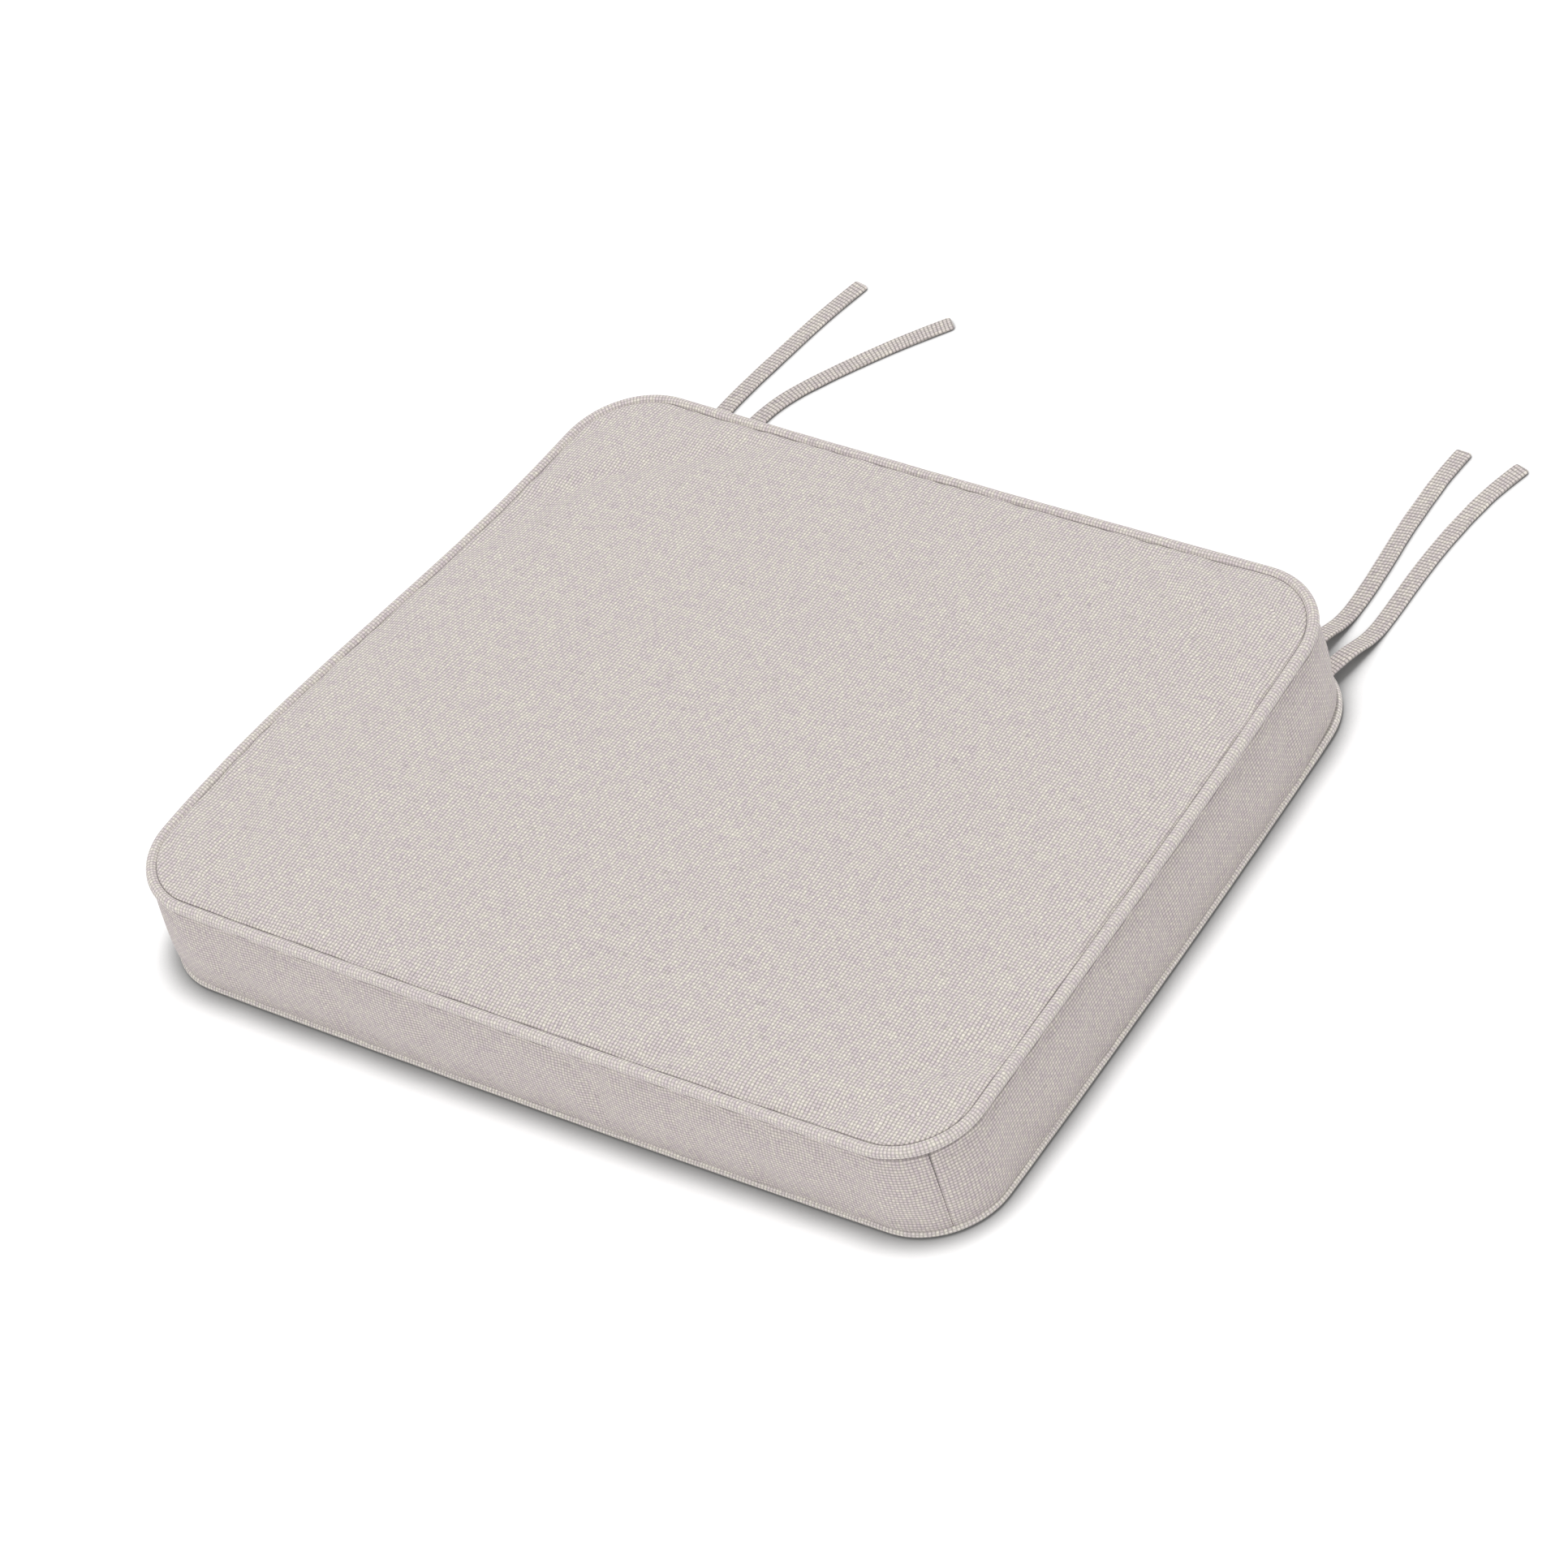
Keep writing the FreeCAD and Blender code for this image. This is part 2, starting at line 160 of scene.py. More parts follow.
def core_grid(boundary):
    """A grid of points inside a closed loop that has one column for each of the pad's."""
    loop = boundary[CLOSED]
    front, right = loop[:ACROSS + 1], loop[ACROSS:ACROSS + ALONG + 1]
    back = loop[ACROSS + ALONG:2 * ACROSS + ALONG + 1][::-1]
    left = loop[2 * ACROSS + ALONG:][::-1]
    u = np.linspace(0, 1, ACROSS + 1)[None, :, None]
    v = np.linspace(0, 1, ALONG + 1)[:, None, None]
    grid = ((1 - v) * front[None] + v * back[None] + (1 - u) * left[:, None] + u * right[:, None]
            - (1 - u) * (1 - v) * front[0] - u * (1 - v) * front[-1]
            - (1 - u) * v * back[0] - u * v * back[-1])
    for _ in range(GRID_ROUNDS):
        grid[1:-1, 1:-1] = (grid[:-2, 1:-1] + grid[2:, 1:-1] + grid[1:-1, :-2] + grid[1:-1, 2:]) / 4
    return grid


def patch(insets):
    """Plan points, faces and distance from the rim of a panel: rings, then a grid inside them."""
    rings = [ring(i) for i in insets]
    grid = core_grid(rings[-1])
    index = np.full(grid.shape[:2], -1)
    last = (len(rings) - 1) * ROUND
    index[0, :] = last + np.arange(ACROSS + 1)
    index[:, -1] = last + ACROSS + np.arange(ALONG + 1)
    index[-1, ::-1] = last + ACROSS + ALONG + np.arange(ACROSS + 1)
    index[::-1, 0] = last + (2 * ACROSS + ALONG + np.arange(ALONG + 1)) % ROUND
    inner = grid[1:-1, 1:-1].reshape(-1, 2)
    index[1:-1, 1:-1] = len(rings) * ROUND + np.arange(len(inner)).reshape(ALONG - 1, ACROSS - 1)
    faces = []
    for k in range(len(rings) - 1):
        for j in range(ROUND):
            a, b = k * ROUND + j, k * ROUND + (j + 1) % ROUND
            faces.append((a, b, b + ROUND, a + ROUND))
    for r in range(ALONG):
        for c in range(ACROSS):
            faces.append(tuple(int(i) for i in (index[r, c], index[r, c + 1],
                                                index[r + 1, c + 1], index[r + 1, c])))
    points = np.vstack(rings + [inner])
    away = np.concatenate([np.full(ROUND, float(i)) for i in insets]
                          + [np.linalg.norm(inner[:, None] - RIM[None], axis=2).min(1)])
    return points, faces, away


# ---- meshes ---------------------------------------------------------------------------------------

FAR_FROM_SEAM = 99.0


def make_piece(name, points, faces, cloth=None, seam=None, materials=(), body="pad", levels=1,
               stands_for=()):
    """A piece from points in mm. cloth is where each point lies in its cloth, in mm along the two sets
    of threads, and seam is its distance from the nearest seam, which sets painted shade along the
    seams."""
    mesh = bpy.data.meshes.new(name)
    mesh.from_pydata((np.asarray(points) * MM).tolist(), [], [list(map(int, f)) for f in faces])
    mesh.update()
    if cloth is not None:
        layer = mesh.attributes.new("cloth", "FLOAT_VECTOR", "POINT")
        flat = np.zeros((len(points), 3), np.float32)
        flat[:, :2] = cloth
        layer.data.foreach_set("vector", flat.ravel())
        near = np.full(len(points), FAR_FROM_SEAM) if seam is None else seam
        layer = mesh.attributes.new("seam", "FLOAT", "POINT")
        layer.data.foreach_set("value", np.asarray(near, np.float32))
    mesh.shade_smooth()
    obj = bpy.data.objects.new(name, mesh)
    bpy.context.scene.collection.objects.link(obj)
    for material in materials:
        mesh.materials.append(material)
    if levels:
        sub = obj.modifiers.new("Subdivision", "SUBSURF")
        sub.levels = sub.render_levels = levels
    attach(obj, body)
    if stands_for:
        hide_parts(*stands_for)
    return obj


def grid_faces(rows, columns, wrap=False, first=0):
    """Quads of a grid of points that is stored row by row."""
    faces = []
    for r in range(rows - 1):
        for c in range(columns if wrap else columns - 1):
            a, b = first + r * columns + c, first + r * columns + (c + 1) % columns
            faces.append((a, b, b + columns, a + columns))
    return faces


# ---- materials ------------------------------------------------------------------------------------

class Wire:
    """A value inside a shader, with the arithmetic that makes more nodes from it."""

    def __init__(self, tree, socket):
        self.tree, self.socket = tree, socket

    def math(self, operation, *others, clamp=False):
        node = self.tree.nodes.new("ShaderNodeMath")
        node.operation, node.use_clamp = operation, clamp
        for socket, value in zip(node.inputs, (self,) + others):
            plug(self.tree, value, socket)
        return Wire(self.tree, node.outputs[0])

    def __add__(self, other):
        return self.math("ADD", other)

    def __sub__(self, other):
        return self.math("SUBTRACT", other)

    def __mul__(self, other):
        return self.math("MULTIPLY", other)

    def __truediv__(self, other):
        return self.math("DIVIDE", other)

    def __pow__(self, other):
        return self.math("POWER", other)

    def ramp(self, low, high, out_low=0.0, out_high=1.0):
        node = self.tree.nodes.new("ShaderNodeMapRange")
        node.interpolation_type = "SMOOTHSTEP"
        for socket, value in zip(node.inputs, (self, low, high, out_low, out_high)):
            plug(self.tree, value, socket)
        return Wire(self.tree, node.outputs[0])


def plug(tree, value, socket):
    if isinstance(value, Wire):
        tree.links.new(value.socket, socket)
    else:
        socket.default_value = value


def vector(tree, x, y, z=0.0):
    node = tree.nodes.new("ShaderNodeCombineXYZ")
    for socket, value in zip(node.inputs, (x, y, z)):
        plug(tree, value, socket)
    return Wire(tree, node.outputs[0])


def cloud(tree, where, scale, detail=2.0, roughness=0.5):
    """Noise from 0 to 1 round 0.5."""
    node = tree.nodes.new("ShaderNodeTexNoise")
    plug(tree, where, node.inputs["Vector"])
    node.inputs["Scale"].default_value = scale
    node.inputs["Detail"].default_value = detail
    node.inputs["Roughness"].default_value = roughness
    return Wire(tree, node.outputs["Fac"])


def attribute(tree, name, output):
    node = tree.nodes.new("ShaderNodeAttribute")
    node.attribute_name = name
    return Wire(tree, node.outputs[output])


def blend(tree, factor, a, b, mode="MIX"):
    node = tree.nodes.new("ShaderNodeMix")
    node.data_type, node.blend_type = "RGBA", mode
    plug(tree, factor, node.inputs[0])
    for socket, value in ((node.inputs[6], a), (node.inputs[7], b)):
        plug(tree, value if isinstance(value, Wire) else (*value, 1.0), socket)
    return Wire(tree, node.outputs[2])


def shader(name):
    material = bpy.data.materials.new(name)
    material.use_nodes = True
    tree = material.node_tree
    return material, tree, tree.nodes["Principled BSDF"]


def bumped(tree, surface, height, distance, strength=1.0):
    node = tree.nodes.new("ShaderNodeBump")
    node.inputs["Strength"].default_value = strength
    node.inputs["Distance"].default_value = distance
    plug(tree, height, node.inputs["Height"])
    tree.links.new(node.outputs["Normal"], surface.inputs["Normal"])


def linear(r, g, b):
    """A colour given as 0-255 display values, as the renderer wants it."""
    return tuple(((c / 255 + 0.055) / 1.055) ** 2.4 for c in (r, g, b))


def shaded(tree, colour, value):
    """A colour made lighter or darker by a wire."""
    return blend(tree, 1.0, colour, vector(tree, value, value, value), "MULTIPLY")


def object_place(tree):
    return Wire(tree, tree.nodes.new("ShaderNodeTexCoord").outputs["Object"])


def parts_of(tree, place):
    """The three coordinates of a vector."""
    split = tree.nodes.new("ShaderNodeSeparateXYZ")
    plug(tree, place, split.inputs[0])
    return [Wire(tree, socket) for socket in split.outputs]


WARP_PITCH, WEFT_PITCH = 1.706, 1.587     # mm between threads
WANDER, WANDER_SCALE = 3.0, 0.035         # how far the threads wander, in mm, and how quickly
WEAVE_DEPTH = 0.35                        # mm
SEAM_SHADE, SEAM_REACH = 0.45, 0.8        # how dark the painted shade along a seam is, and how many mm from it the shade reaches


def woven(name, lilac, cream, between, seed=0.0):
    """Heathered plain weave: two crossing sets of uneven threads, each with its own shade. between is
    how light the painted shade leaves the gaps between warp threads and between weft threads."""
    material, tree, surface = shader(name)
    u, v, _ = parts_of(tree, attribute(tree, "cloth", "Vector"))
    warp_drift = cloud(tree, vector(tree, u, v, seed), WANDER_SCALE, 3.0)
    weft_drift = cloud(tree, vector(tree, v, u, seed + 40), WANDER_SCALE, 3.0)
    a = (u + (warp_drift - 0.5) * WANDER) / WARP_PITCH
    b = (v + (weft_drift - 0.5) * WANDER) / WEFT_PITCH
    column, row = a.math("FLOOR"), b.math("FLOOR")
    across, up = a - column, b - row
    parity = (column + row).math("FLOORED_MODULO", 2.0)
    sign = parity * -2.0 + 1.0
    hump_a, hump_b = (across * math.pi).math("SINE"), (up * math.pi).math("SINE")
    warp = (hump_a ** 0.6) * (sign * hump_b * 0.5 + 0.5)
    weft = (hump_b ** 0.6) * (sign * hump_a * -0.5 + 0.5)
    height = warp.math("MAXIMUM", weft)
    on_top = (warp - weft).ramp(-0.25, 0.25)
    # each thread's shade changes along it, and now and then it thickens into a slub
    warp_shade = cloud(tree, vector(tree, column * 3.37, v * 0.09, seed + 3), 1.0, 2.0, 0.6)
    weft_shade = cloud(tree, vector(tree, u * 0.09, row * 3.37, seed + 9), 1.0, 2.0, 0.6)
    weft_part = on_top * -1.0 + 1.0
    shade = warp_shade * on_top + weft_shade * weft_part
    streaks = cloud(tree, vector(tree, u * 0.55, v * 0.22, seed + 5), 1.0, 3.0, 0.6)
    hue = (shade * 0.4 + streaks * 0.6).ramp(0.40, 0.60)
    colour = blend(tree, hue, lilac, cream)
    # crowns of the threads catch the light, the gaps between them don't
    crown = height.ramp(0.35, 0.95, 0.72, 1.06)
    crown = crown * on_top.ramp(0.0, 1.0, 0.95, 1.04)
    crown = crown * hump_a.ramp(0.0, 0.8, between[0], 1.02) * hump_b.ramp(0.0, 0.8, between[1], 1.02)
    mottle = (shade - 0.5) * 0.40 + (streaks - 0.5) * 0.48 + 1.0
    fibre = (cloud(tree, vector(tree, u, v, seed + 70), 1.5, 2.0, 0.7) - 0.5) * 0.20 + 1.0
    lump = cloud(tree, vector(tree, u * 0.16, row * 5.1, seed + 21), 1.0, 0.0)
    slub = lump.ramp(0.74, 0.82, 1.0, 0.88)
    # painted shade along seams, where the cloth creases into them
    near = attribute(tree, "seam", "Fac")
    line = near.ramp(0.0, SEAM_REACH, SEAM_SHADE, 1.0)
    colour = shaded(tree, colour, crown * mottle * fibre * slub * line)
    tree.links.new(colour.socket, surface.inputs["Base Color"])
    fuzz = cloud(tree, vector(tree, u, v, seed + 33), 4.5, 1.0)
    bumped(tree, surface, height + fuzz * 0.25, WEAVE_DEPTH * MM, 0.75)
    plug(tree, fuzz.ramp(0.2, 0.8, 0.82, 0.95), surface.inputs["Roughness"])
    surface.inputs["Specular IOR Level"].default_value = 0.18
    surface.inputs["Sheen Weight"].default_value = 0.22
    surface.inputs["Sheen Roughness"].default_value = 0.55
    return material


# one cloth everywhere. The bands' copy is darker, as painted shade on the upright sides, and the
# bottom piping's copy is lighter, as painted light bounced up from the white floor; the ties' two
# yarns are a little lighter or darker
LILAC, CREAM = linear(213, 201, 203), linear(212, 206, 196)
panel_cloth = woven("cover_weave", LILAC, CREAM, (0.80, 0.93))
band_cloth_painted_shade = woven("band_weave_painted_shade", linear(207, 194, 196), linear(206, 198, 190), (0.98, 0.80), 100.0)
piping_cloth = woven("piping_weave", LILAC, CREAM, (0.88, 1.0), 200.0)
low_piping_cloth_painted_light = woven("low_piping_weave_painted_light", linear(228, 218, 217), linear(229, 224, 213),
                         (0.9, 1.0), 400.0)
tie_cloth = woven("tie_weave", linear(210, 199, 199), linear(213, 206, 197), (1.0, 0.60), 300.0)


# ---- camera, floor and light ----------------------------------------------------------------------

AZIMUTH, ELEVATION, ROLL = map(math.radians, (48.573, 41.539, -19.193))
AIM, DISTANCE, LENS, SENSOR = Vector((-0.0149, 0.0281, 0.0)), 3.521, 171.69, 36
NEAREST, FARTHEST = 0.1, 50
FLOOR_HALF, FLOOR_Z = 6, -0.0001
CONTACT_REACH = 0.02                   # the painted contact shadow on the floor reaches this near the pad, in metres
FLOOR_GLOW, WORLD_LIGHT = 0.14, 0.72
back_axis = Vector((math.sin(AZIMUTH) * math.cos(ELEVATION),
                    -math.cos(AZIMUTH) * math.cos(ELEVATION), math.sin(ELEVATION)))
right_axis = Vector((math.cos(AZIMUTH), math.sin(AZIMUTH), 0))
up_axis = back_axis.cross(right_axis)
right_axis, up_axis = (math.cos(ROLL) * right_axis + math.sin(ROLL) * up_axis,
                       -math.sin(ROLL) * right_axis + math.cos(ROLL) * up_axis)
camera = bpy.data.objects.new("camera", bpy.data.cameras.new("camera"))
camera.data.lens, camera.data.sensor_width = LENS, SENSOR
camera.data.clip_start, camera.data.clip_end = NEAREST, FARTHEST
camera.matrix_world = Matrix.Translation(AIM + back_axis * DISTANCE) @ Matrix(
    (right_axis, up_axis, back_axis)).transposed().to_4x4()
bpy.context.scene.collection.objects.link(camera)
bpy.context.scene.camera = camera

floor_mesh = bpy.data.meshes.new("floor")
floor_mesh.from_pydata([(FLOOR_HALF * x, FLOOR_HALF * y, FLOOR_Z)
                        for x, y in ((-1, -1), (1, -1), (1, 1), (-1, 1))], [], [(0, 1, 2, 3)])
floor = bpy.data.objects.new("floor", floor_mesh)
bpy.context.scene.collection.objects.link(floor)
paper, tree, surface = shader("white_floor")
surface.inputs["Roughness"].default_value = 0.9
surface.inputs["Specular IOR Level"].default_value = 0.0
surface.inputs["Emission Strength"].default_value = FLOOR_GLOW
# painted contact shadow: an ambient occlusion node darkens the floor's colour and glow near the pad
contact = tree.nodes.new("ShaderNodeAmbientOcclusion")
contact.inputs["Distance"].default_value = CONTACT_REACH
shadow = Wire(tree, contact.outputs["AO"]).ramp(0.35, 0.95, 0.26, 0.92)
grey = vector(tree, shadow, shadow, shadow)
tree.links.new(grey.socket, surface.inputs["Base Color"])
tree.links.new(grey.socket, surface.inputs["Emission Color"])
floor_mesh.materials.append(paper)

scene = bpy.context.scene
scene.view_settings.view_transform = "Standard"
world = bpy.data.worlds.new("studio")
world.use_nodes = True
world.node_tree.nodes["Background"].inputs["Color"].default_value = (1, 1, 1, 1)
world.node_tree.nodes["Background"].inputs["Strength"].default_value = WORLD_LIGHT
scene.world = world


def lamp(name, towards, distance, size, power):
    light = bpy.data.lights.new(name, "AREA")
    light.size, light.energy = size, power
    obj = bpy.data.objects.new(name, light)
    obj.location = Vector(towards).normalized() * distance
    obj.rotation_mode = "QUATERNION"
    obj.rotation_quaternion = (-obj.location).to_track_quat("-Z", "Y")
    scene.collection.objects.link(obj)


lamp("key", towards=(0.05, 0.13, 0.99), distance=6.0, size=1.7, power=140)
lamp("front_fill", towards=(0.1, -0.9, 0.42), distance=5.0, size=3.0, power=36)


# ---- ties: flat folded tapes, sewn into the seam over the bottom piping ---------------------------

TIE_WIDTH, TIE_THICKNESS = 9.0, 2.0
TIE_RIBS = 0.8                         # the ties are cut along the cloth's coarser threads
TIE_ROOT = 8.0                         # a tie starts this far inside the back edge
TIE_ROOT_CORNER, CORNER_RUN = 5.0, 18  # and up to this much further, this far round the corner
TIE_EDGE_WANDER, EDGE_WANDER_RUN = 0.12, 9
# the far end is turned in and its two corners are a little round: how far from the end, how wide
# and how thick
TIE_TIP = ((1.1, 1.0, 1.0), (0.35, 0.93, 0.85), (0.0, 0.80, 0.55))
TIP_START, TIP_BULGE = 1.6, 0.15
# the tape's section, from one folded edge over the top to the other and back below
TIE_SECTION = ((-1, 0), (-0.99, 0.45), (-0.95, 0.8), (-0.86, 0.97), (-0.45, 0.95), (0, 0.98),
               (0.45, 0.95), (0.86, 0.97), (0.95, 0.8), (0.99, 0.45), (1, 0),
               (0.99, -0.45), (0.95, -0.8), (0.86, -0.97), (0.4, -0.9), (0, -0.88), (-0.4, -0.9),
               (-0.86, -0.97), (-0.95, -0.8), (-0.99, -0.45))
UNDER_CLOTH = 20                       # the lower layer is another stretch of the same cloth
ROOT_Z, HELD_Z, REST_Z = 0.0076, 0.0072, 0.00105
ROUTES = {
    "tie_left_outer": [
        (-0.196, 0.171, ROOT_Z), (-0.197, 0.183, ROOT_Z), (-0.1985, 0.196, HELD_Z),
        (-0.201, 0.214, REST_Z), (-0.2023, 0.236, REST_Z), (-0.201, 0.258, REST_Z),
        (-0.1983, 0.281, REST_Z), (-0.196, 0.303, REST_Z), (-0.193, 0.323, REST_Z),
        (-0.189, 0.342, REST_Z)],
    "tie_left_inner": [
        (-0.180, 0.1755, ROOT_Z), (-0.1803, 0.1875, ROOT_Z), (-0.1808, 0.200, HELD_Z),
        (-0.1813, 0.218, REST_Z), (-0.181, 0.238, REST_Z), (-0.1765, 0.257, REST_Z),
        (-0.165, 0.278, REST_Z), (-0.153, 0.297, REST_Z), (-0.1405, 0.315, REST_Z),
        (-0.126, 0.333, REST_Z)],
    "tie_right_inner": [
        (0.181, 0.1755, ROOT_Z), (0.1813, 0.1875, ROOT_Z), (0.182, 0.200, HELD_Z),
        (0.1828, 0.218, REST_Z), (0.182, 0.238, REST_Z), (0.1795, 0.260, REST_Z),
        (0.1765, 0.282, REST_Z), (0.175, 0.304, REST_Z), (0.174, 0.322, REST_Z),
        (0.175, 0.339, REST_Z)],
    "tie_right_outer": [
        (0.1965, 0.171, ROOT_Z), (0.1985, 0.183, ROOT_Z), (0.2005, 0.1955, HELD_Z),
        (0.2015, 0.2135, REST_Z), (0.2008, 0.234, REST_Z), (0.1993, 0.256, REST_Z),
        (0.199, 0.279, REST_Z), (0.2003, 0.301, REST_Z), (0.203, 0.322, REST_Z),
        (0.208, 0.339, REST_Z)],
}


def spline_points(name, route):
    """The route's smooth line, in mm."""
    curve = bpy.data.curves.new(name + "_line", "CURVE")
    curve.dimensions, curve.resolution_u = "3D", 12
    spline = curve.splines.new("NURBS")
    spline.points.add(len(route) - 1)
    for point, place in zip(spline.points, route):
        point.co = (*place, 1.0)
    spline.order_u, spline.use_endpoint_u = 3, True
    obj = bpy.data.objects.new(name + "_line", curve)
    mesh = bpy.data.meshes.new_from_object(obj)
    line = np.array([tuple(v.co) for v in mesh.vertices]) / MM
    bpy.data.meshes.remove(mesh)
    bpy.data.objects.remove(obj)
    bpy.data.curves.remove(curve)
    return line


def make_tie(name, route):
    line = spline_points(name, route)
    cornered = np.clip((np.abs(line[:, 0]) - BACK_WIDTH / 2 + BACK_RADIUS) / CORNER_RUN, 0, 1)
    line = line[line[:, 1] > DEPTH / 2 - TIE_ROOT - cornered * TIE_ROOT_CORNER]
    walk = np.concatenate([[0], np.cumsum(np.linalg.norm(np.diff(line, axis=0), axis=1))])
    forward = np.gradient(line, axis=0)
    forward /= np.linalg.norm(forward, axis=1)[:, None]
    sideways = np.stack([-forward[:, 1], forward[:, 0], 0 * forward[:, 0]], 1)
    sideways /= np.linalg.norm(sideways, axis=1)[:, None]
    upward = np.cross(forward, sideways)
    upward *= np.sign(upward[:, 2])[:, None]
    width, thick = TIE_WIDTH / 2, TIE_THICKNESS / 2
    total = walk[-1]
    rows = [(line[i], sideways[i], upward[i], walk[i], 1.0, 1.0)
            for i in range(len(line)) if walk[i] < total - TIP_START]
    rows += [(line[-1] - forward[-1] * back, sideways[-1], upward[-1], total - back, narrow, flat)
             for back, narrow, flat in TIE_TIP]
    points, cloth = [], []
    for place, side, over, along, narrow, flat in rows:
        wander = TIE_EDGE_WANDER * noise.noise(Vector((along / EDGE_WANDER_RUN, 3.1, len(name))))
        for s, t in TIE_SECTION:
            points.append(place + side * s * (width + wander) * narrow + over * t * thick * flat)
            cloth.append((s * width + (0 if t >= 0 else UNDER_CLOTH), along * TIE_RIBS))
    n = len(TIE_SECTION)
    faces = grid_faces(len(rows), n, wrap=True)
    start, end = len(points), len(points) + 1
    points += [rows[0][0], rows[-1][0] + forward[-1] * TIP_BULGE]
    cloth += [(0, rows[0][3]), (0, rows[-1][3])]
    last = (len(rows) - 1) * n
    faces += [(start, (j + 1) % n, j) for j in range(n)]
    faces += [(end, last + j, last + (j + 1) % n) for j in range(n)]
    obj = make_piece(name + "_tape", np.array(points), faces, np.array(cloth), None, [tie_cloth],
                     levels=1, stands_for=[name])


for tie, route in ROUTES.items():
    make_tie(tie, route)


# ---- cover: the cloth over the foam, inflated by a cloth simulation -------------------------------

TOP_INSETS = (SEAM_INSET, 6.4, 7.4, 9.2, 12.0, 16.0, 21.0)
RIM_RISE, RIM_RUN, CROWN_RISE, CROWN_RUN = 1.0, 1.3, 1.3, 45
BAND_TOP, BAND_BOTTOM = TOP_PIPE_Z - 2.85, BOTTOM_PIPE_Z + 2.9
BAND_HEIGHT = BAND_TOP - BAND_BOTTOM
BAND_STEPS = (0, 0.03, 0.08, 0.16, 0.26, 0.37, 0.48, 0.59, 0.70, 0.80, 0.88, 0.95, 1)
BAND_ROWS = len(BAND_STEPS)
BAND_INSET, BAND_SWELL = 2.7, 1.5
# the pad's weight flattens the bottom piping, except at the back where the ties come out
PRESSED_FULLY, PRESSED_NOT = 120, 160  # it fades out between these distances behind the middle
PRESSED_DOWN, PRESSED_FLAT, PRESSED_BAND, PRESSED_OUT = 0.9, 0.8, 2.2, 1.2
SIM_FRAMES, PRESSURE = 20, 1.0
TOP_CAP, BAND_CAP = 1.5, 1.6           # the farthest that the simulation may move the cloth

plan, top_faces, away = patch(TOP_INSETS)
top_count = len(plan)
rise = (RIM_RISE * (1 - np.exp(-(away - SEAM_INSET) / RIM_RUN))
        + CROWN_RISE * (1 - np.exp(-(away - SEAM_INSET) / CROWN_RUN)))
top_base = np.column_stack([plan, SEAM_Z + rise])
band_rows = []
pressed = 1 - smooth(RIM[:, 1], PRESSED_FULLY, PRESSED_NOT)
for t in BAND_STEPS:
    swell = BAND_SWELL * max(math.sin(math.pi * t), 0.0) ** 0.6 + pressed[:, None] * PRESSED_OUT * t
    height = BAND_TOP - BAND_HEIGHT * t - pressed * PRESSED_BAND * t
    band_rows.append(np.column_stack([ring(BAND_INSET - swell), height]))
band_base = np.vstack(band_rows)
base = settle(np.vstack([top_base, band_base]))


def inflate(points, faces, pinned):
    """The points after the air in the cover has pushed its loose cloth out."""
    mesh = bpy.data.meshes.new("inflating")
    mesh.from_pydata((points * MM).tolist(), [], [list(map(int, f)) for f in faces])
    obj = bpy.data.objects.new("inflating", mesh)
    scene.collection.objects.link(obj)
    group = obj.vertex_groups.new(name="sewn")
    group.add([int(i) for i in pinned], 1.0, "REPLACE")
    cloth = obj.modifiers.new("Cloth", "CLOTH")
    settings = cloth.settings
    settings.quality = 4
    settings.mass = 0.3
    settings.tension_stiffness = settings.compression_stiffness = 18
    settings.shear_stiffness, settings.bending_stiffness = 6, 0.6
    settings.vertex_group_mass = "sewn"
    settings.shrink_min = -0.012
    settings.use_pressure, settings.uniform_pressure_force = True, PRESSURE
    settings.effector_weights.gravity = 0
    cloth.collision_settings.use_collision = False
    cloth.point_cache.frame_start, cloth.point_cache.frame_end = 1, SIM_FRAMES
    for number in range(1, SIM_FRAMES + 1):
        scene.frame_set(number)
    shaped = obj.evaluated_get(bpy.context.evaluated_depsgraph_get())
    out = np.array([tuple(v.co) for v in shaped.data.vertices]) / MM
    bpy.data.objects.remove(obj)
    bpy.data.meshes.remove(mesh)
    scene.frame_set(1)
    return out


bridge = [(top_count + j, top_count + (j + 1) % ROUND, (j + 1) % ROUND, j) for j in range(ROUND)]
band_faces = [tuple(reversed(f)) for f in grid_faces(BAND_ROWS, ROUND, wrap=True, first=top_count)]
pinned = np.concatenate([np.arange(ROUND), top_count + np.arange(ROUND),
                         top_count + (BAND_ROWS - 1) * ROUND + np.arange(ROUND)])
moved = inflate(base, top_faces + bridge + band_faces, pinned) - base
far = np.linalg.norm(moved, axis=1)
print("inflated: top %.2f mm, bands %.2f mm" % (far[:top_count].max(), far[top_count:].max()))
cap = np.concatenate([np.full(top_count, TOP_CAP), np.full(len(band_base), BAND_CAP)])
cover = base + moved * (cap * np.tanh(far / cap) / np.maximum(far, 1e-6))[:, None]

top_shape, band_shape = cover[:top_count], cover[top_count:].reshape(BAND_ROWS, ROUND, 3)

# soft upright folds where the bands turn the back corners: column, how deep, where deepest
FOLDS = ((166, 1.2, 0.7), (169, 1.9, 0.35), (173, 0.8, 0.5), (264, 0.7, 0.45), (270, 0.9, 0.4))
FOLD_REACH, FOLD_BULGE = 0.3, 0.35
for column, depth, deepest in FOLDS:
    for k, t in enumerate(BAND_STEPS[1:-1], 1):
        size = depth * math.exp(-((t - deepest) / FOLD_REACH) ** 2)
        band_shape[k, column, :2] -= NORMAL[column] * size
        for beside in (column - 1, column + 1):
            band_shape[k, beside, :2] += NORMAL[beside] * size * FOLD_BULGE

